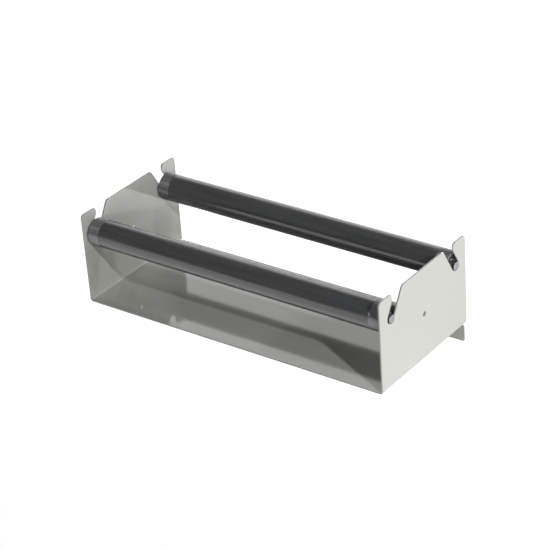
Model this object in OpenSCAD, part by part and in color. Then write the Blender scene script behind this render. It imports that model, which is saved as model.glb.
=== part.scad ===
/* [Tray] */
// Width over the two side plates
tray_w = 319; // [200:1:640]
// Depth of the floor from the front edge to the rear face
tray_d = 135; // [105:1:240]
// Height of the side plates above the underside
tray_h = 88.5; // [70:0.5:140]
// Thickness of the folded sheet
sheet_t = 1.5; // [1:0.1:2.5]
// Outer radius of every bend
bend_r = 3; // [2.6:0.1:5]
// Drop of the rear flange below the underside
flange_drop = 19; // [8:0.5:40]
// Gap from each end of the flange to the inner face of the side plate
flange_end_gap = 0.7; // [0.2:0.1:3]
// Corner radius at the lower corners of the flange
flange_corner_r = 2; // [0.5:0.5:5]
// Radius of the relief notch where the flange meets a side plate
relief_r = 1.5; // [0.8:0.1:2.5]
// Diameter of the hole in each side plate
side_hole_d = 4.5; // [3:0.1:8]
// Height of the hole in each side plate
side_hole_z = 44.25; // [20:0.25:60]

/* [Slots] */
// Distance from the plate's end edge to the centre of the slot's round end
slot_y = 16.6; // [14:0.1:30]
// Height of the centre of the slot's round end
slot_z = 66.5; // [40:0.5:74]
// Width of the slot
slot_w = 10.4; // [8.6:0.1:14]
// Lean of the slot towards the middle of the tray, from upright
slot_lean = 30; // [15:1:40]
// Width of the tab between the end edge and the slot's mouth
tab_w = 19.5; // [15:0.5:30]
// Corner radius at the top of the tab
tab_r = 3.5; // [1:0.5:6]
// Radius of the shoulder where the slot runs out into the top edge
shoulder_r = 4; // [1:0.5:8]

/* [Rollers] */
// Outer diameter of the roller tube and of its end caps
roller_d = 26; // [25:0.5:36]
// Wall of the roller tube
tube_wall = 2; // [1:0.1:3]
// Gap between each roller end and the side plate
end_gap = 1; // [0.5:0.1:3]
// Length of the end cap that shows beside the tube
cap_len = 12; // [10:0.5:20]
// Edge radius at the outer end of the cap
cap_edge_r = 1; // [0.4:0.1:1.6]
// Length of the cap's spigot inside the tube
spigot_len = 10; // [6:0.5:20]
// Wall of the cap's spigot
spigot_wall = 1.8; // [1:0.1:2.4]
// Height of the crush ribs on the spigot's root
rib_h = 0.3; // [0.1:0.1:0.5]
// Number of crush ribs round the spigot
rib_n = 12; // [6:1:24]
// Depth of the bearing below the cap's outer end
bearing_recess = 1; // [0.95:0.05:2]
// Thickness of the web behind the bearing
cap_web = 2.2; // [1:0.1:4]

/* [Shafts] */
// Diameter of the shaft
shaft_d = 8; // [6:0.5:10]
// Length of shaft that stands out past each side plate
shaft_out = 1.5; // [0.5:0.5:6]
// Chamfer at each end of the shaft
shaft_chamfer = 0.6; // [0.2:0.1:1.5]
// Depth of the groove for a retaining ring
groove_depth = 0.2; // [0.1:0.05:0.5]
// Thickness of the retaining ring
ring_t = 0.8; // [0.6:0.1:1]
// Radial width of the retaining ring
ring_w = 1.5; // [1:0.1:2]
// Diameter of the plier hole in each lug of the retaining ring
ring_hole_d = 1; // [0.6:0.1:1.4]
// Opening of the retaining ring between its two lugs
ring_opening = 3.4; // [2.5:0.1:5]

/* [Bearings] */
// Outer diameter of the ball bearing
bearing_d = 22; // [17:0.5:22]
// Width of the ball bearing
bearing_w = 7; // [6.5:0.5:9]
// Radial thickness of each ring of the bearing
race_wall = 2; // [1.6:0.1:2.2]
// Diameter of the balls
ball_d = 3.9; // [3.4:0.1:4.4]
// Number of balls
ball_n = 7; // [5:1:8]
// Edge chamfer of the bearing rings
race_chamfer = 0.3; // [0.1:0.1:0.6]
// Thickness of the rubber seals
seal_t = 0.6; // [0.4:0.1:0.8]
// Depth that a seal reaches into the outer ring
seal_seat = 0.45; // [0.2:0.05:0.8]
// Depth of the seals below the faces of the bearing
seal_recess = 0.15; // [0.05:0.05:0.4]
// Radial thickness of the ball cage, as a share of the room between the two rings
cage_wall_share = 0.4; // [0.2:0.05:0.6]
// Rim of the cage beside each ball pocket
cage_rim = 0.35; // [0.2:0.05:0.6]

/* [Clearances] */
// Clearance between pieces that are pressed or pushed together
fit_gap = 0.05; // [0.02:0.01:0.1]
// Gap between the balls and the grooves of the rings
race_gap = 0.15; // [0.1:0.01:0.2]
// Gap between the balls and the pockets of the cage
pocket_gap = 0.2; // [0.1:0.05:0.3]
// Gap between a seal's lip and the inner ring
seal_gap = 0.2; // [0.1:0.05:0.4]
// Gap between the shaft and the bottom of its slot
seat_gap = 0.3; // [0.1:0.05:0.5]
// Radial clearance round the shaft inside the end cap
shaft_clear = 1.5; // [0.5:0.1:2.5]
// Width of the shoulder that stops the bearing's outer ring
stop_w = 1.4; // [0.8:0.1:2]
// Depth of the relief behind the bearing's inner ring
stop_depth = 0.8; // [0.4:0.1:1.5]
// Chamfer on each side of the seam between tube and cap
seam_chamfer = 0.3; // [0.1:0.1:0.6]

/* [Hidden] */
$fn = 96;
// Overrun of every cutting solid past the face that it cuts
cut_over = 1;

// Inner radius of every bend
bend_ir = bend_r - sheet_t;
// Half width between the inner faces of the side plates
inner_half = tray_w / 2 - sheet_t;
// Half length of the flange
flange_half = inner_half - flange_end_gap;
// Radii of the slot's round end and of the shaft
slot_r = slot_w / 2;
shaft_r = shaft_d / 2;
// Where the shaft's axis lies, from the plate's end edge and above the underside
axis_y = tray_d / 2 - slot_y;
axis_z = slot_z - slot_r + shaft_r + seat_gap;
// Height at which the slot's outer side meets the tab's upright side
tab_foot_y = slot_y - slot_r * cos(slot_lean);
tab_foot_z = slot_z + slot_r * sin(slot_lean);
mouth_z = tab_foot_z + (tab_w - tab_foot_y) / tan(slot_lean);
// Where the slot's inner side meets the top edge
shoulder_y = slot_y + slot_r * cos(slot_lean) + (tray_h - slot_z + slot_r * sin(slot_lean)) * tan(slot_lean);
// Distance from that corner to where the shoulder's arc begins
shoulder_run = shoulder_r * tan((90 - slot_lean) / 2);
// Length of the slanted part of the slot's cutting shape
slot_run = (tray_h + cut_over - slot_z) / cos(slot_lean) + slot_w;

// Lengths and radii along the roller
roller_len = tray_w - 2 * sheet_t - 2 * end_gap;
roller_r = roller_d / 2;
tube_len = roller_len - 2 * cap_len;
tube_ir = roller_r - tube_wall;
spigot_r = tube_ir - fit_gap - rib_h;
spigot_ir = spigot_r - spigot_wall;
bearing_r = bearing_d / 2;
pocket_r = bearing_r + fit_gap;
pocket_depth = bearing_recess + bearing_w;
web_start = pocket_depth + stop_depth;
web_end = web_start + cap_web;
cap_total = cap_len + spigot_len;
// Radii inside the bearing
inner_land_r = shaft_r + fit_gap + race_wall;
outer_land_r = bearing_r - race_wall;
pitch_r = (inner_land_r + outer_land_r) / 2;
cage_wall = cage_wall_share * (outer_land_r - inner_land_r);
ball_r = ball_d / 2;
race_groove_r = ball_r + race_gap;
// Middle of the bearing, inwards from the roller's end
bearing_mid = bearing_recess + bearing_w / 2;
// Retaining ring and its groove, inwards from the roller's end
ring_end = bearing_recess - fit_gap;
groove_r = shaft_r - groove_depth;
ring_ir = groove_r + fit_gap;
ring_or = ring_ir + ring_w;
lug_r = ring_w / 2 + ring_hole_d / 4;
lug_centre = ring_ir + ring_w / 2 + ring_hole_d / 4;
lug_angle = asin((ring_opening / 2 + lug_r) / lug_centre);
shaft_len = tray_w + 2 * shaft_out;

tray_colour = [0.85, 0.85, 0.83];
tube_colour = [0.22, 0.22, 0.22];
cap_colour = [0.13, 0.13, 0.14];
shaft_colour = [0.70, 0.69, 0.73];
ring_colour = [0.78, 0.78, 0.80];
ball_colour = [0.86, 0.87, 0.88];
seal_colour = [0.10, 0.10, 0.10];
clip_colour = [0.30, 0.30, 0.32];

// A quarter of the sheet's bend, in the quadrant of positive x and negative y
module bend_section() {
    intersection() {
        difference() {
            circle(r = bend_r);
            circle(r = bend_ir);
        }
        translate([0, -bend_r - cut_over])
            square([bend_r + cut_over, bend_r + cut_over]);
    }
}

// Right half of the section across the tray: floor, bend and side plate
module half_channel() {
    square([tray_w / 2 - bend_r, sheet_t]);
    translate([tray_w / 2 - bend_r, bend_r])
        bend_section();
    translate([inner_half, bend_r])
        square([sheet_t, tray_h - bend_r]);
}

// What the front end of a side plate loses, in distances from its end edge and heights
module plate_cut() {
    // rounded end corner of the tab
    difference() {
        translate([-cut_over, tray_h - tab_r])
            square([cut_over + tab_r, tab_r + cut_over]);
        translate([tab_r, tray_h - tab_r])
            circle(r = tab_r);
    }
    // rounded inner corner of the tab
    difference() {
        translate([tab_w - tab_r, tray_h - tab_r])
            square([tab_r + cut_over, tab_r + cut_over]);
        translate([tab_w - tab_r, tray_h - tab_r])
            circle(r = tab_r);
    }
    // slot with a round lower end
    translate([slot_y, slot_z]) {
        circle(r = slot_r);
        rotate(-slot_lean)
            translate([-slot_r, 0])
                square([slot_w, slot_run]);
    }
    // mouth beside the tab's upright inner side
    polygon([
        [tab_w, mouth_z],
        [slot_y + (mouth_z - slot_z) * tan(slot_lean), mouth_z],
        [shoulder_y, tray_h],
        [shoulder_y, tray_h + cut_over],
        [tab_w, tray_h + cut_over]
    ]);
    // rounded shoulder where the slot runs out into the top edge
    difference() {
        polygon([
            [shoulder_y - shoulder_run * sin(slot_lean), tray_h - shoulder_run * cos(slot_lean)],
            [shoulder_y + shoulder_run, tray_h],
            [shoulder_y + shoulder_run, tray_h + cut_over],
            [shoulder_y - cut_over, tray_h + cut_over],
            [shoulder_y - cut_over - shoulder_run * sin(slot_lean), tray_h - shoulder_run * cos(slot_lean)]
        ]);
        translate([shoulder_y + shoulder_run, tray_h - shoulder_r])
            circle(r = shoulder_r);
    }
}

// Section of the rear flange and its bend, in depth and height
module flange_section() {
    translate([tray_d / 2 - bend_r, sheet_t - bend_r])
        rotate(90)
            bend_section();
    translate([tray_d / 2 - sheet_t, -flange_drop])
        square([sheet_t, flange_drop + sheet_t - bend_r]);
}

// Relief between the flange and one side plate
module relief() {
    translate([inner_half - relief_r, tray_d / 2 - bend_r, sheet_t - bend_r - relief_r])
        linear_extrude(height = 2 * bend_r + relief_r) {
            circle(r = relief_r);
            translate([-relief_r, 0])
                square([2 * relief_r, bend_r + cut_over]);
        }
}

// Lower corner of the flange that is rounded away
module flange_corner() {
    translate([flange_half - flange_corner_r, tray_d / 2 + cut_over, flange_corner_r - flange_drop])
        rotate([90, 0, 0])
            linear_extrude(height = sheet_t + 2 * cut_over)
                difference() {
                    translate([0, -flange_corner_r - cut_over])
                        square([flange_corner_r + cut_over, flange_corner_r + cut_over]);
                    circle(r = flange_corner_r);
                }
}

// Folded sheet: floor, two side plates with open slots, and the rear flange
module tray() {
    color(tray_colour)
        difference() {
            union() {
                difference() {
                    translate([0, tray_d / 2, 0])
                        rotate([90, 0, 0])
                            linear_extrude(height = tray_d) {
                                half_channel();
                                mirror([1, 0])
                                    half_channel();
                            }
                    // the floor's rear edge, which the flange's bend takes over
                    translate([-inner_half, tray_d / 2 - bend_r, -cut_over])
                        cube([2 * inner_half, bend_r + cut_over, bend_r + cut_over]);
                }
                translate([-flange_half, 0, 0])
                    rotate([90, 0, 90])
                        linear_extrude(height = 2 * flange_half)
                            flange_section();
            }
            for (side = [0, 1])
                mirror([side, 0, 0]) {
                    relief();
                    flange_corner();
                }
            for (end = [0, 1])
                mirror([0, end, 0])
                    translate([-tray_w / 2 - cut_over, -tray_d / 2, 0])
                        rotate([90, 0, 90])
                            linear_extrude(height = tray_w + 2 * cut_over)
                                plate_cut();
            translate([-tray_w / 2 - cut_over, 0, side_hole_z])
                rotate([0, 90, 0])
                    cylinder(d = side_hole_d, h = tray_w + 2 * cut_over);
        }
}

// Puts a roller's piece on its axis: end 0 is the front roller, end 1 the rear one
module on_axis(end) {
    mirror([0, end, 0])
        translate([0, -axis_y, axis_z])
            children();
}

// Puts a piece at a roller's end, its z running inwards: side 0 is right, side 1 left
module at_end(end, side) {
    on_axis(end)
        mirror([side, 0, 0])
            translate([roller_len / 2, 0, 0])
                rotate([0, -90, 0])
                    children();
}

// A ring of given radii between two depths, as half of its section
module ring_section(inner, outer, from, to) {
    translate([inner, from])
        square([outer - inner, to - from]);
}

// Corner chamfer of a turned piece: at radius r and depth v, towards dr and dv
module corner(r, v, dr, dv) {
    polygon([[r, v], [r + dr, v], [r, v + dv]]);
}

module roller_tube() {
    color(tube_colour)
        translate([-tube_len / 2, 0, 0])
            rotate([0, 90, 0])
                rotate_extrude()
                    difference() {
                        ring_section(tube_ir, roller_r, 0, tube_len);
                        corner(roller_r, 0, -seam_chamfer, seam_chamfer);
                        corner(roller_r, tube_len, -seam_chamfer, -seam_chamfer);
                        corner(tube_ir, 0, seam_chamfer, seam_chamfer);
                        corner(tube_ir, tube_len, seam_chamfer, -seam_chamfer);
                    }
}

// Moulded end cap: bearing pocket, web and a spigot with crush ribs
module end_cap() {
    color(cap_colour)
        union() {
            rotate_extrude()
                difference() {
                    union() {
                        ring_section(0, roller_r, cap_edge_r, cap_len);
                        ring_section(0, roller_r - cap_edge_r, 0, cap_edge_r);
                        translate([roller_r - cap_edge_r, cap_edge_r])
                            circle(r = cap_edge_r);
                        ring_section(0, spigot_r, cap_len, cap_total);
                    }
                    corner(roller_r, cap_len, -seam_chamfer, -seam_chamfer);
                    corner(spigot_r, cap_total, -seam_chamfer, -2 * seam_chamfer);
                    ring_section(0, pocket_r, -cut_over, pocket_depth);
                    ring_section(0, pocket_r - stop_w, pocket_depth, web_start);
                    ring_section(0, shaft_r + shaft_clear, web_start, web_end);
                    ring_section(0, spigot_ir, web_end, cap_total + cut_over);
                }
            for (i = [0 : rib_n - 1])
                rotate([0, 0, i * 360 / rib_n])
                    translate([spigot_r - spigot_wall / 2, -rib_h, cap_len - seam_chamfer])
                        cube([spigot_wall / 2 + rib_h, 2 * rib_h, spigot_len - seam_chamfer]);
        }
}

// Turned shaft with chamfered ends and a groove for each retaining ring
module shaft() {
    color(shaft_colour)
        translate([-shaft_len / 2, 0, 0])
            rotate([0, 90, 0])
                rotate_extrude()
                    difference() {
                        ring_section(0, shaft_r, 0, shaft_len);
                        corner(shaft_r, 0, -shaft_chamfer, shaft_chamfer);
                        corner(shaft_r, shaft_len, -shaft_chamfer, -shaft_chamfer);
                        for (at = [shaft_len / 2 - roller_len / 2, shaft_len / 2 + roller_len / 2])
                            translate([0, at])
                                mirror([0, at > shaft_len / 2 ? 1 : 0])
                                    ring_section(groove_r, shaft_r + cut_over, ring_end - ring_t - fit_gap, ring_end + fit_gap);
                    }
}

module bearing_outer_ring() {
    color(ring_colour)
        rotate_extrude()
            difference() {
                ring_section(outer_land_r, bearing_r, bearing_recess, pocket_depth);
                corner(bearing_r, bearing_recess, -race_chamfer, race_chamfer);
                corner(bearing_r, pocket_depth, -race_chamfer, -race_chamfer);
                translate([pitch_r, bearing_mid])
                    circle(r = race_groove_r);
                ring_section(outer_land_r - cut_over, outer_land_r + seal_seat, bearing_recess - cut_over, bearing_recess + seal_recess + seal_t);
                ring_section(outer_land_r - cut_over, outer_land_r + seal_seat, pocket_depth - seal_recess - seal_t, pocket_depth + cut_over);
            }
}

module bearing_inner_ring() {
    color(ring_colour)
        rotate_extrude()
            difference() {
                ring_section(shaft_r + fit_gap, inner_land_r, bearing_recess, pocket_depth);
                corner(shaft_r + fit_gap, bearing_recess, race_chamfer, race_chamfer);
                corner(shaft_r + fit_gap, pocket_depth, race_chamfer, -race_chamfer);
                translate([pitch_r, bearing_mid])
                    circle(r = race_groove_r);
            }
}

module bearing_balls() {
    color(ball_colour)
        for (i = [0 : ball_n - 1])
            rotate([0, 0, i * 360 / ball_n])
                translate([pitch_r, 0, bearing_mid])
                    sphere(r = ball_r);
}

module bearing_cage() {
    color(ring_colour)
        difference() {
            rotate_extrude()
                ring_section(pitch_r - cage_wall / 2, pitch_r + cage_wall / 2, bearing_mid - ball_r - pocket_gap - cage_rim, bearing_mid + ball_r + pocket_gap + cage_rim);
            for (i = [0 : ball_n - 1])
                rotate([0, 0, i * 360 / ball_n])
                    translate([pitch_r - cage_wall / 2 - cut_over, 0, bearing_mid])
                        rotate([0, 90, 0])
                            cylinder(r = ball_r + pocket_gap, h = cage_wall + 2 * cut_over);
        }
}

module bearing_seals() {
    color(seal_colour)
        for (from = [bearing_recess + seal_recess, pocket_depth - seal_recess - seal_t])
            rotate_extrude()
                ring_section(inner_land_r + seal_gap, outer_land_r + seal_seat - fit_gap, from, from + seal_t);
}

// Spring ring with two lugs, in the shaft's groove beside the bearing
module retaining_ring() {
    color(clip_colour)
        translate([0, 0, ring_end - ring_t])
            linear_extrude(height = ring_t)
                difference() {
                    union() {
                        difference() {
                            circle(r = ring_or);
                            circle(r = ring_ir);
                            polygon([
                                [0, 0],
                                [2 * ring_or * cos(lug_angle), 2 * ring_or * sin(lug_angle)],
                                [2 * ring_or * cos(lug_angle), -2 * ring_or * sin(lug_angle)]
                            ]);
                        }
                        for (turn = [-lug_angle, lug_angle])
                            rotate(turn)
                                translate([lug_centre, 0])
                                    circle(r = lug_r);
                    }
                    for (turn = [-lug_angle, lug_angle])
                        rotate(turn)
                            translate([lug_centre, 0])
                                circle(d = ring_hole_d);
                }
}

tray();
on_axis(0) roller_tube();  // front_roller_tube
at_end(0, 1) end_cap();  // front_left_end_cap
at_end(0, 0) end_cap();  // front_right_end_cap
on_axis(0) shaft();  // front_shaft
at_end(0, 1) bearing_outer_ring();  // front_left_bearing_outer_ring
at_end(0, 1) bearing_inner_ring();  // front_left_bearing_inner_ring
at_end(0, 1) bearing_balls();  // front_left_bearing_balls
at_end(0, 1) bearing_cage();  // front_left_bearing_cage
at_end(0, 1) bearing_seals();  // front_left_bearing_seals
at_end(0, 1) retaining_ring();  // front_left_retaining_ring
at_end(0, 0) bearing_outer_ring();  // front_right_bearing_outer_ring
at_end(0, 0) bearing_inner_ring();  // front_right_bearing_inner_ring
at_end(0, 0) bearing_balls();  // front_right_bearing_balls
at_end(0, 0) bearing_cage();  // front_right_bearing_cage
at_end(0, 0) bearing_seals();  // front_right_bearing_seals
at_end(0, 0) retaining_ring();  // front_right_retaining_ring
on_axis(1) roller_tube();  // rear_roller_tube
at_end(1, 1) end_cap();  // rear_left_end_cap
at_end(1, 0) end_cap();  // rear_right_end_cap
on_axis(1) shaft();  // rear_shaft
at_end(1, 1) bearing_outer_ring();  // rear_left_bearing_outer_ring
at_end(1, 1) bearing_inner_ring();  // rear_left_bearing_inner_ring
at_end(1, 1) bearing_balls();  // rear_left_bearing_balls
at_end(1, 1) bearing_cage();  // rear_left_bearing_cage
at_end(1, 1) bearing_seals();  // rear_left_bearing_seals
at_end(1, 1) retaining_ring();  // rear_left_retaining_ring
at_end(1, 0) bearing_outer_ring();  // rear_right_bearing_outer_ring
at_end(1, 0) bearing_inner_ring();  // rear_right_bearing_inner_ring
at_end(1, 0) bearing_balls();  // rear_right_bearing_balls
at_end(1, 0) bearing_cage();  // rear_right_bearing_cage
at_end(1, 0) bearing_seals();  // rear_right_bearing_seals
at_end(1, 0) retaining_ring();  // rear_right_retaining_ring
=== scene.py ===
# %% [markdown]
# # Application tape dispenser: looks
# A folded, powder-coated tray carries two black rollers, whose steel shafts lie in open slots of its side plates.
# CAD has already made every piece at its real size. This file gives the pieces their finishes, their light and
# their place before the camera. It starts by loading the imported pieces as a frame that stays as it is.

import math

import bmesh
import bpy
import numpy as np
from mathutils import Matrix, Vector


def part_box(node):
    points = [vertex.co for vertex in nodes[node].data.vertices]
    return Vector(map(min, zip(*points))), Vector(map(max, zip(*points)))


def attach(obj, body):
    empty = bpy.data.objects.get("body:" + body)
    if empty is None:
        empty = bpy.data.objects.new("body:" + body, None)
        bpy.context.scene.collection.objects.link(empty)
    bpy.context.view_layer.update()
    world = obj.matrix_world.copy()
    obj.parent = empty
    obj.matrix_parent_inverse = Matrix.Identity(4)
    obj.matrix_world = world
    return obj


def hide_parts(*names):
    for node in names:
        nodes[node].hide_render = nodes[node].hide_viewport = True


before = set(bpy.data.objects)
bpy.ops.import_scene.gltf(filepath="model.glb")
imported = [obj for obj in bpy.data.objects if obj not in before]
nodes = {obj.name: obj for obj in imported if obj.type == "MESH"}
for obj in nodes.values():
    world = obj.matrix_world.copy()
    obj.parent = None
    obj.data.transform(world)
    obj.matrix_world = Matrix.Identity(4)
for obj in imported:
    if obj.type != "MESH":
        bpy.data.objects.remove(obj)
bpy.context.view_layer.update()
MM = 0.001

# %% [markdown]
# ## Camera
# A photograph's lens and place can be worked out from corners whose real positions are known. Here the corners of
# the side plates and of the tray's edges gave a long lens, almost two metres away, looking down over the front
# right corner. The small roll comes from the dispenser leaning forward on its table.

# %% Place the camera
LENS_MM = 136.7056
AIM = Vector((0.00125, 0.00239, 0.03700))
DISTANCE = 1.85676
AZIMUTH, ELEVATION, ROLL = (math.radians(a) for a in (37.7017, 29.3958, -4.2331))

back = Vector(
    (
        math.sin(AZIMUTH) * math.cos(ELEVATION),
        -math.cos(AZIMUTH) * math.cos(ELEVATION),
        math.sin(ELEVATION),
    )
)
lens = bpy.data.cameras.new("camera")
lens.lens = LENS_MM
camera = bpy.data.objects.new("camera", lens)
bpy.context.collection.objects.link(camera)
upright = (-back).to_track_quat("-Z", "Y").to_matrix() @ Matrix.Rotation(ROLL, 3, "Z")
camera.matrix_world = Matrix.Translation(AIM + DISTANCE * back) @ upright.to_4x4()
bpy.context.scene.camera = camera
print("camera at", [round(float(c), 3) for c in camera.matrix_world.translation])

# %% [markdown]
# ## Helpers for shader nodes
# Every finish is a Principled shader fed by noise on Object coordinates, which are metres here, so a scale of 1000
# gives spots of about a millimetre. Small helpers keep the node code short: one makes a node and sets its sockets,
# and the others make the patterns that most finishes share.

# %% Make nodes, materials and numbers between two limits
def node(tree, kind, inputs=(), **settings):
    """A new node of that kind. inputs maps a socket's name or number to a value, or to another node's output."""
    made = tree.nodes.new(kind)
    for name, value in settings.items():
        setattr(made, name, value)
    for socket, value in dict(inputs).items():
        if isinstance(value, bpy.types.NodeSocket):
            tree.links.new(value, made.inputs[socket])
        else:
            made.inputs[socket].default_value = value
    return made


def blank_finish(name, **constants):
    """A material with one Principled shader, its constant sockets set, and the piece's own coordinates."""
    material = bpy.data.materials.new(name)
    material.use_nodes = True
    tree = material.node_tree
    shader = tree.nodes["Principled BSDF"]
    for socket, value in constants.items():
        shader.inputs[socket.replace("_", " ")].default_value = value
    place = node(tree, "ShaderNodeTexCoord").outputs["Object"]
    return material, tree, shader, place


def between(tree, factor, low, high, start=0.0, end=1.0):
    """Number that goes from low to high as the factor goes from start to end."""
    span = node(
        tree,
        "ShaderNodeMapRange",
        {"Value": factor, "From Min": start, "From Max": end, "To Min": low, "To Max": high},
    )
    return span.outputs["Result"]


def join(tree, operation, *values):
    """The values joined by one math operation, two at a time."""
    total = values[0]
    for value in values[1:]:
        total = node(tree, "ShaderNodeMath", {0: total, 1: value}, operation=operation).outputs[0]
    return total


def absolute(tree, value):
    """The value without its sign."""
    return node(tree, "ShaderNodeMath", {0: value}, operation="ABSOLUTE").outputs[0]


print("first helpers ready")

# %% [markdown]
# Three patterns come back in most finishes. Speckle is soft noise, drawn out along one axis where a surface was
# ground or turned. Relief turns a height from 0 to 1 into a bump of a real depth. Worn edges are found by comparing
# the true normal with one that is rounded over a short reach: they differ only near an edge.

# %% Speckle, tint, relief and worn edges
EDGE_AGREES, GRAIN_WORN = (0.80, 0.97), (0.35, 0.65)
EDGE_SAMPLES = 6


def speckle(tree, place, scale, stretch=(1, 1, 1), detail=3.0):
    """Soft noise from 0 to 1 with scale spots a metre, drawn out along an axis whose stretch is small."""
    spread = node(tree, "ShaderNodeMapping", {"Vector": place, "Scale": [scale * s for s in stretch]})
    noise = node(tree, "ShaderNodeTexNoise", {"Vector": spread.outputs[0], "Scale": 1.0, "Detail": detail})
    return noise.outputs["Fac"]


def tint(tree, factor, first, second):
    """Colour that goes from first to second as the factor goes from 0 to 1."""
    mix = node(tree, "ShaderNodeMix", data_type="RGBA")
    for socket, value in ((0, factor), (6, first), (7, second)):
        if isinstance(value, bpy.types.NodeSocket):
            tree.links.new(value, mix.inputs[socket])
        else:
            mix.inputs[socket].default_value = (*value, 1) if isinstance(value, tuple) else value
    return mix.outputs[2]


def relief(tree, shader, height, depth_mm):
    """Bump of that depth from a height that runs from 0 to 1."""
    bump = node(tree, "ShaderNodeBump", {"Height": height, "Distance": depth_mm * MM, "Strength": 1.0})
    tree.links.new(bump.outputs["Normal"], shader.inputs["Normal"])


def worn_edge(tree, grain, reach_mm):
    """0 on open surface, up to 1 in a broken line along the edges: the rounded normal leaves the true one there."""
    rounded = node(tree, "ShaderNodeBevel", {"Radius": reach_mm * MM}, samples=EDGE_SAMPLES).outputs["Normal"]
    true = node(tree, "ShaderNodeNewGeometry").outputs["Normal"]
    agree = node(tree, "ShaderNodeVectorMath", {0: rounded, 1: true}, operation="DOT_PRODUCT").outputs["Value"]
    line = between(tree, agree, 1.0, 0.0, *EDGE_AGREES)
    return join(tree, "MULTIPLY", line, between(tree, grain, 0.0, 1.0, *GRAIN_WORN))


def dress(material, *names):
    """Puts the finish on CAD nodes, whose meshes stay as they are."""
    for name in names:
        nodes[name].data.materials.clear()
        nodes[name].data.materials.append(material)
    print(material.name, "on", len(names), "pieces")


ROWS = ("front", "rear")
ENDS = [f"{row}_{side}" for row in ROWS for side in ("left", "right")]
print("roller ends:", ENDS)

# %% [markdown]
# ## Tray skin
# The tray is one blank of 1.5 mm steel, punched, folded and powder-coated. The coat flows a little, so its edges are
# never knife-sharp. The edges could be faked in the shader, but real geometry also looks right close up and in the
# exported model. So a copy of the CAD tray is welded into one closed mesh, its flat triangles become whole faces,
# and a Bevel modifier rounds each cut edge. The tiny relief notches where the flange meets the side plates are left
# sharp, because their short edges have no room for a bevel.

# %% Weld a copy of the tray
WELD = 0.001 * MM
FLAT = math.radians(0.5)

skin_mesh = nodes["tray"].data.copy()
skin_mesh.name = "tray_skin"
skin_mesh.attributes.remove(skin_mesh.attributes["custom_normal"])
build = bmesh.new()
build.from_mesh(skin_mesh)
bmesh.ops.remove_doubles(build, verts=build.verts, dist=WELD)
bmesh.ops.dissolve_limit(build, angle_limit=FLAT, verts=build.verts, edges=build.edges)
build.to_mesh(skin_mesh)
build.free()
print("tray skin before rounding:", len(skin_mesh.polygons), "faces")

# %% Weigh its edges for the bevel
SHARP = math.radians(30)
NOTCH_X, NOTCH_Y, NOTCH_REACH, NOTCH_TOP = 156.5 * MM, 64.5 * MM, 1.9 * MM, 3.0 * MM


def read(collection, name, width=1, kind=np.float64):
    """One attribute of a mesh's vertices, edges, corners or faces as an array."""
    values = np.empty(len(collection) * width, kind)
    collection.foreach_get(name, values)
    return values.reshape(-1, width) if width > 1 else values


def edge_weights(mesh):
    """1 for each edge whose two faces meet at more than the sharp angle, away from the relief notches.
    The angle's cosine is the product of the two faces' normals; a closed mesh has two corners on each edge."""
    corner_face = np.repeat(np.arange(len(mesh.polygons)), read(mesh.polygons, "loop_total", kind=np.int32))
    by_edge = np.argsort(read(mesh.loops, "edge_index", kind=np.int32), kind="stable")
    sides = corner_face[by_edge].reshape(-1, 2)
    normals = read(mesh.polygons, "normal", 3)
    cosine = (normals[sides[:, 0]] * normals[sides[:, 1]]).sum(1)
    ends = read(mesh.vertices, "co", 3)[read(mesh.edges, "vertices", 2, np.int32)]
    off_notch = np.hypot(np.abs(ends[..., 0]) - NOTCH_X, ends[..., 1] - NOTCH_Y)
    in_notch = ((off_notch < NOTCH_REACH) & (ends[..., 2] < NOTCH_TOP)).any(1)
    return ((cosine < math.cos(SHARP)) & ~in_notch).astype(np.float32)


weights = edge_weights(skin_mesh)
skin_mesh.attributes.new("bevel_weight_edge", "FLOAT", "EDGE").data.foreach_set("value", weights)
skin_mesh.polygons.foreach_set("use_smooth", np.ones(len(skin_mesh.polygons), bool))
print("edges to round:", int(weights.sum()), "of", len(weights))

# %% Round its edges
EDGE_ROUND = 0.15 * MM
EDGE_STEPS = 3

tray_skin = bpy.data.objects.new("tray_skin", skin_mesh)
bpy.context.collection.objects.link(tray_skin)
rounding = tray_skin.modifiers.new("rounding", "BEVEL")
rounding.limit_method = "WEIGHT"
rounding.width = EDGE_ROUND
rounding.segments = EDGE_STEPS
rounding.use_clamp_overlap = False
tray_skin.modifiers.new("shading", "WEIGHTED_NORMAL")
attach(tray_skin, "tray")
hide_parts("tray")
print("tray skin rounded by", EDGE_ROUND / MM, "mm in", EDGE_STEPS, "steps")

# %% [markdown]
# ## Powder coat
# The coat is a light grey with a touch of green, sprayed as powder and baked, so it is glossy with a very fine
# orange peel. One Principled layer does it: the pigment is the base colour, and an IOR a little above that of
# plastic gives the gloss in which the floor mirrors the rollers. Where the shafts rest in their slots the coat is
# rubbed and grey.

# %% Powder coat on the tray
SHAFT_Y, SHAFT_FOOT, RUB = 50.9 * MM, 61.4 * MM, 1.7 * MM
COAT_DARK, COAT_LIGHT = (0.724, 0.735, 0.678), (0.754, 0.765, 0.706)
COAT_EDGE, COAT_RUBBED = (0.60, 0.605, 0.575), (0.36, 0.36, 0.35)
EDGE_DULLS, RUB_DULLS = 0.15, 0.2

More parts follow.
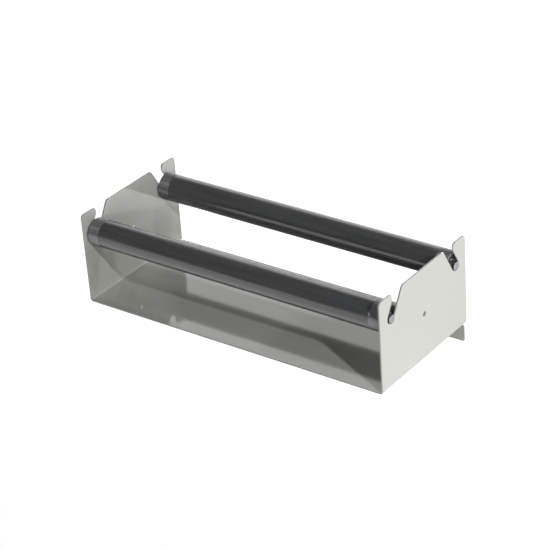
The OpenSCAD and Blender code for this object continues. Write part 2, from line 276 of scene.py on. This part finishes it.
paint, tree, shader, place = blank_finish("tray_paint", IOR=1.65)
cloud = speckle(tree, place, 14)
grit = speckle(tree, place, 1400)
peel = speckle(tree, place, 420, detail=1.5)
spot = node(tree, "ShaderNodeSeparateXYZ", {0: place}).outputs
off_y = join(tree, "SUBTRACT", absolute(tree, spot["Y"]), SHAFT_Y)
off_z = join(tree, "SUBTRACT", spot["Z"], SHAFT_FOOT)
square = join(tree, "ADD", join(tree, "MULTIPLY", off_y, off_y), join(tree, "MULTIPLY", off_z, off_z))
reach = node(tree, "ShaderNodeMath", {0: square}, operation="SQRT").outputs[0]
rubbed = join(
    tree, "MULTIPLY", between(tree, reach, 1.0, 0.0, 0.4 * RUB, RUB), between(tree, grit, 0.3, 1.0, 0.35, 0.6)
)
edge = worn_edge(tree, speckle(tree, place, 260), 0.5)
coat = tint(tree, cloud, COAT_DARK, COAT_LIGHT)
coat = tint(tree, edge, coat, COAT_EDGE)
coat = tint(tree, rubbed, coat, COAT_RUBBED)
tree.links.new(coat, shader.inputs["Base Color"])
gloss = join(
    tree,
    "ADD",
    between(tree, speckle(tree, place, 60), 0.05, 0.09),
    join(tree, "MULTIPLY", edge, EDGE_DULLS),
    join(tree, "MULTIPLY", rubbed, RUB_DULLS),
)
tree.links.new(gloss, shader.inputs["Roughness"])
relief(tree, shader, peel, 0.006)
skin_mesh.materials.clear()
skin_mesh.materials.append(paint)
dress(paint, "tray")

# %% [markdown]
# ## Black roller tubes
# The tubes are aluminium, drawn and anodised black. Drawing leaves faint lines along the tube, which anodising dulls
# but doesn't fill, and broader streaks that differ a little in tone and gloss. Tape running over them polishes faint
# bands round the tube. Noise drawn out along X gives the lines and the streaks, and noise drawn out round the tube
# gives the bands.

# %% Black anodised tubes
BLACK_DEEP, BLACK_STREAK = (0.070, 0.073, 0.077), (0.120, 0.124, 0.130)
BLACK_EDGE = (0.20, 0.20, 0.20)

anodised, tree, shader, place = blank_finish("tube_black", IOR=1.65)
lines = speckle(tree, place, 900, stretch=(0.01, 1, 1))
bands = speckle(tree, place, 160, stretch=(1, 0.02, 0.02))
streaks = between(tree, speckle(tree, place, 260, stretch=(0.05, 1, 1)), 0.0, 1.0, 0.3, 0.7)
edge = worn_edge(tree, speckle(tree, place, 500), 0.6)
black = tint(tree, streaks, BLACK_DEEP, BLACK_STREAK)
black = tint(tree, edge, black, BLACK_EDGE)
tree.links.new(black, shader.inputs["Base Color"])
dull = join(tree, "ADD", between(tree, streaks, 0.17, 0.27), between(tree, bands, -0.03, 0.03, 0.3, 0.7))
tree.links.new(dull, shader.inputs["Roughness"])
relief(tree, shader, lines, 0.004)
dress(anodised, *[f"{row}_roller_tube" for row in ROWS])

# %% [markdown]
# ## End caps
# The caps are grey plastic with metal flake in it, turned to size, so fine rings run round them. Rings spread a
# highlight along the cap's axis while it stays narrow round the cap. An anisotropic gloss does that: its tangent runs
# round the X axis, and a quarter turn puts the spread across the rings. A fine bump gives the rings close up.

# %% Ringed end caps
moulded, tree, shader, place = blank_finish(
    "cap_grey", Metallic=0.6, IOR=1.55, Anisotropic=1.0, Anisotropic_Rotation=0.25
)
rings = speckle(tree, place, 3200, stretch=(1, 0.01, 0.01), detail=1.0)
edge = worn_edge(tree, speckle(tree, place, 700), 0.4)
grey = tint(tree, rings, (0.235, 0.24, 0.25), (0.30, 0.305, 0.315))
tree.links.new(tint(tree, edge, grey, (0.40, 0.40, 0.405)), shader.inputs["Base Color"])
tree.links.new(between(tree, rings, 0.50, 0.58), shader.inputs["Roughness"])
around = node(tree, "ShaderNodeTangent", direction_type="RADIAL", axis="X").outputs[0]
tree.links.new(around, shader.inputs["Tangent"])
relief(tree, shader, rings, 0.006)
dress(moulded, *[f"{end}_end_cap" for end in ENDS])

# %% [markdown]
# ## Steel
# Shafts are drawn bar that has gone dull: lines along them and turned rings on their ends. Bearing rings and balls
# are ground or lapped, so almost a mirror. Cages and retaining rings are pressed from sheet, duller and darker. All
# are metal, and differ in colour, roughness and the way that their fine marks run.

# %% Drawn shafts
steel, tree, shader, place = blank_finish("shaft_steel", Metallic=1.0)
drawn = speckle(tree, place, 3000, stretch=(0.02, 1, 1))
turned = speckle(tree, place, 5000, stretch=(1, 0.05, 0.05))
edge = worn_edge(tree, speckle(tree, place, 900), 0.3)
bar = tint(tree, drawn, (0.19, 0.19, 0.20), (0.29, 0.29, 0.30))
tree.links.new(tint(tree, edge, bar, (0.62, 0.62, 0.63)), shader.inputs["Base Color"])
tree.links.new(between(tree, drawn, 0.30, 0.44), shader.inputs["Roughness"])
relief(tree, shader, join(tree, "ADD", drawn, turned), 0.002)
dress(steel, *[f"{row}_shaft" for row in ROWS])

# %% Ground bearing rings and balls
ground, tree, shader, place = blank_finish("ground_steel", Metallic=1.0)
lap = speckle(tree, place, 4000, stretch=(1, 0.1, 0.1))
tree.links.new(tint(tree, lap, (0.60, 0.60, 0.61), (0.70, 0.70, 0.71)), shader.inputs["Base Color"])
tree.links.new(between(tree, lap, 0.10, 0.20), shader.inputs["Roughness"])
relief(tree, shader, lap, 0.001)
dress(ground, *[f"{end}_bearing_{ring}_ring" for end in ENDS for ring in ("outer", "inner")])

lapped, tree, shader, place = blank_finish("ball_steel", Metallic=1.0)
haze = speckle(tree, place, 1800)
tree.links.new(tint(tree, haze, (0.70, 0.70, 0.71), (0.78, 0.78, 0.79)), shader.inputs["Base Color"])
tree.links.new(between(tree, haze, 0.04, 0.09), shader.inputs["Roughness"])
relief(tree, shader, haze, 0.0005)
dress(lapped, *[f"{end}_bearing_balls" for end in ENDS])

# %% Pressed cages and sprung retaining rings
for name, dark, light, rough, wanted in (
    ("cage_steel", (0.42, 0.42, 0.43), (0.52, 0.52, 0.52), 0.28, "bearing_cage"),
    ("ring_steel", (0.15, 0.15, 0.16), (0.24, 0.24, 0.25), 0.38, "retaining_ring"),
):
    pressed, tree, shader, place = blank_finish(name, Metallic=1.0)
    wave = speckle(tree, place, 900)
    edge = worn_edge(tree, speckle(tree, place, 1500), 0.15)
    tree.links.new(tint(tree, edge, tint(tree, wave, dark, light), (0.6, 0.6, 0.6)), shader.inputs["Base Color"])
    tree.links.new(between(tree, wave, rough, rough + 0.12), shader.inputs["Roughness"])
    relief(tree, shader, wave, 0.003)
    dress(pressed, *[f"{end}_{wanted}" for end in ENDS])

# %% [markdown]
# ## Bearing seals
# A seal is a thin washer of moulded black rubber. It is matt, its colour is uneven with dust, and the mould leaves
# very fine rings, which here are noise drawn out round the X axis.

# %% Rubber seals
rubber, tree, shader, place = blank_finish("seal_rubber", IOR=1.5)
dust = speckle(tree, place, 1500)
mould = speckle(tree, place, 2500, stretch=(0.1, 1, 1))
tree.links.new(tint(tree, dust, (0.012, 0.012, 0.012), (0.024, 0.024, 0.023)), shader.inputs["Base Color"])
tree.links.new(between(tree, dust, 0.45, 0.65), shader.inputs["Roughness"])
relief(tree, shader, mould, 0.004)
dress(rubber, *[f"{end}_bearing_seals" for end in ENDS])

# %% [markdown]
# ## Table
# The dispenser stands on a plain white table, on its front bottom edge and on the lower edge of its rear flange, so
# the table is tilted through those two edges. A white table could be made white by more light, but that would
# bleach the paint. Instead the table adds white of its own, for the camera and for mirror images only. Mirror images
# get little of it under and just behind the tray. That is a painted shadow, where the real table seems to lie in the
# dispenser's shadow. A plain matt white still takes the lamps' light.

# %% White table
TABLE_SEEN, TABLE_MIRRORED, TABLE_SHADED, TABLE_MATT = 1.0, 1.3, 0.1, 0.8
SHADE_START, SHADE_END, SHADE_SIDE = (-0.05, 0.0), (0.09, 0.17), (0.15, 0.17)
TABLE_FRONT, TABLE_BACK, TABLE_SIDE, TABLE_GAP = -0.37, 1.4, 1.2, 0.1 * MM

tray_low, tray_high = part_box("tray")
lean = tray_low.z / (tray_high.y - tray_low.y)
corners = [
    (x, y, lean * (y - tray_low.y) - TABLE_GAP)
    for x, y in (
        (-TABLE_SIDE, TABLE_FRONT),
        (TABLE_SIDE, TABLE_FRONT),
        (TABLE_SIDE, TABLE_BACK),
        (-TABLE_SIDE, TABLE_BACK),
    )
]
table_mesh = bpy.data.meshes.new("table")
table_mesh.from_pydata(corners, [], [(0, 1, 2, 3)])
table = bpy.data.objects.new("table", table_mesh)
bpy.context.collection.objects.link(table)

white = bpy.data.materials.new("table_white")
white.use_nodes = True
tree = white.node_tree
tree.nodes.clear()
ray = node(tree, "ShaderNodeLightPath").outputs
mirrored = join(tree, "MAXIMUM", ray["Is Glossy Ray"], ray["Is Transmission Ray"])
table_seen = join(tree, "MULTIPLY", ray["Is Camera Ray"], TABLE_SEEN)
spot = node(tree, "ShaderNodeSeparateXYZ", {0: node(tree, "ShaderNodeTexCoord").outputs["Object"]}).outputs
aside = absolute(tree, spot["X"])
# painted shadow in mirror images: 1 under and just behind the tray, where the mirrored white drops to TABLE_SHADED
shade = join(
    tree,
    "MULTIPLY",
    between(tree, spot["Y"], 0.0, 1.0, *SHADE_START),
    between(tree, spot["Y"], 1.0, 0.0, *SHADE_END),
    between(tree, aside, 1.0, 0.0, *SHADE_SIDE),
)
shaded = between(tree, shade, TABLE_MIRRORED, TABLE_SHADED)
table_mirrored = join(tree, "MULTIPLY", mirrored, shaded)
seen = join(tree, "ADD", table_seen, table_mirrored)
glow = node(tree, "ShaderNodeEmission", {"Color": (1, 1, 1, 1), "Strength": seen})
matt = node(tree, "ShaderNodeBsdfDiffuse", {"Color": (TABLE_MATT, TABLE_MATT, TABLE_MATT, 1)})
both = node(tree, "ShaderNodeAddShader", {0: glow.outputs[0], 1: matt.outputs[0]})
node(tree, "ShaderNodeOutputMaterial", {"Surface": both.outputs[0]})
table_mesh.materials.append(white)
print("table leans by", round(math.degrees(math.atan(lean)), 2), "degrees")

# %% [markdown]
# ## Room
# Gloss shows the room: the floor of the tray mirrors a white backdrop behind it, while the tubes' dark tops mirror
# a dim ceiling. The world is therefore a low white band behind the dispenser in a dim room. The camera itself sees
# plain white.

# %% Backdrop and room
BACKDROP_SOFT, BACKDROP_MIRRORED = 0.2, 1.45
ROOM_SOFT, ROOM_MIRRORED = 0.03, 0.35
BAND_HEIGHT, BAND_DEPTH = (0.52, 0.66), (0.0, 0.45)

world = bpy.data.worlds.new("studio")
bpy.context.scene.world = world
world.use_nodes = True
tree = world.node_tree
tree.nodes.clear()
ray = node(tree, "ShaderNodeLightPath").outputs
axes = node(tree, "ShaderNodeSeparateXYZ", {0: node(tree, "ShaderNodeTexCoord").outputs["Generated"]}).outputs
below = between(tree, axes["Z"], 1.0, 0.0, *BAND_HEIGHT)
behind = between(tree, axes["Y"], 0.0, 1.0, *BAND_DEPTH)
band = join(tree, "MULTIPLY", below, behind)
mirrored = join(tree, "MAXIMUM", ray["Is Glossy Ray"], ray["Is Transmission Ray"])
backdrop = between(tree, mirrored, BACKDROP_SOFT, BACKDROP_MIRRORED)
room = between(tree, mirrored, ROOM_SOFT, ROOM_MIRRORED)
around = join(tree, "ADD", join(tree, "MULTIPLY", band, backdrop), room)
strength = node(tree, "ShaderNodeMix", {0: ray["Is Camera Ray"], 2: around, 3: 1.0}, data_type="FLOAT").outputs[0]
sky = node(tree, "ShaderNodeBackground", {"Color": (1, 1, 1, 1), "Strength": strength})
node(tree, "ShaderNodeOutputWorld", {"Surface": sky.outputs[0]})
print("backdrop", BACKDROP_SOFT, BACKDROP_MIRRORED, "room", ROOM_SOFT, ROOM_MIRRORED)

# %% [markdown]
# ## Lamps
# Shadow edges show three small key lamps on the right: one low and one high at almost the same turn, and a weaker
# one a little behind. A low fill on the right evens the side plate out. Two more, as low, light the left side and the
# back, which the camera doesn't see, so that the dispenser reads well from every side.

# %% Three key lamps and three low fills
LAMP_AIM = Vector((0.16, 0, 0.045))
LAMP_DISTANCE = 1.5
LAMPS = {
    "low_key": (27.5, 9.5, 3.0, 0.035),
    "high_key": (28.3, 33.0, 5.4, 0.05),
    "back_key": (-13.5, 34.0, 1.9, 0.08),
    "right_fill": (2.0, 1.0, 4.5, 0.12),
    "left_fill": (180.0, 4.0, 6.0, 0.30),
    "rear_fill": (-97.0, 2.0, 6.0, 0.16),
}


def lamp(name, turn, rise, watts, size):
    """A square lamp: turn is its angle from +X towards -Y, rise its angle above the level, both in degrees."""
    data = bpy.data.lights.new(name, "AREA")
    data.size = size
    data.energy = watts
    made = bpy.data.objects.new(name, data)
    bpy.context.collection.objects.link(made)
    turn, rise = math.radians(turn), math.radians(rise)
    toward = Vector((math.cos(turn) * math.cos(rise), -math.sin(turn) * math.cos(rise), math.sin(rise)))
    facing = (-toward).to_track_quat("-Z", "Y").to_matrix().to_4x4()
    made.matrix_world = Matrix.Translation(LAMP_AIM + LAMP_DISTANCE * toward) @ facing
    made.visible_camera = False
    return made


lamps = {name: lamp(name, *about) for name, about in LAMPS.items()}
print("lamps:", {name: made.data.energy for name, made in lamps.items()})

# %% [markdown]
# In the photograph the low lamp misses the lower front of the left plate, as if something stood in its way. What it
# was isn't seen, so a card on the right in front, which no ray but a shadow ray can see, stands in for it.

# %% Card before the low lamp
CARD_X, CARD_NEAR, CARD_FAR, CARD_TOP = 0.19, -0.6, -0.168, 0.105

card_mesh = bpy.data.meshes.new("shade_card")
card_mesh.from_pydata(
    [(CARD_X, y, z) for y, z in ((CARD_NEAR, 0), (CARD_FAR, 0), (CARD_FAR, CARD_TOP), (CARD_NEAR, CARD_TOP))],
    [],
    [(0, 1, 2, 3)],
)
card = bpy.data.objects.new("shade_card", card_mesh)
bpy.context.collection.objects.link(card)
card.visible_camera = card.visible_diffuse = card.visible_glossy = card.visible_transmission = False
card_mesh.materials.append(white)
print("card top at", CARD_TOP)

# %% [markdown]
# ## Colours as they are
# The Standard view transform shows a colour as it is written.

# %% View settings
bpy.context.scene.view_settings.view_transform = "Standard"
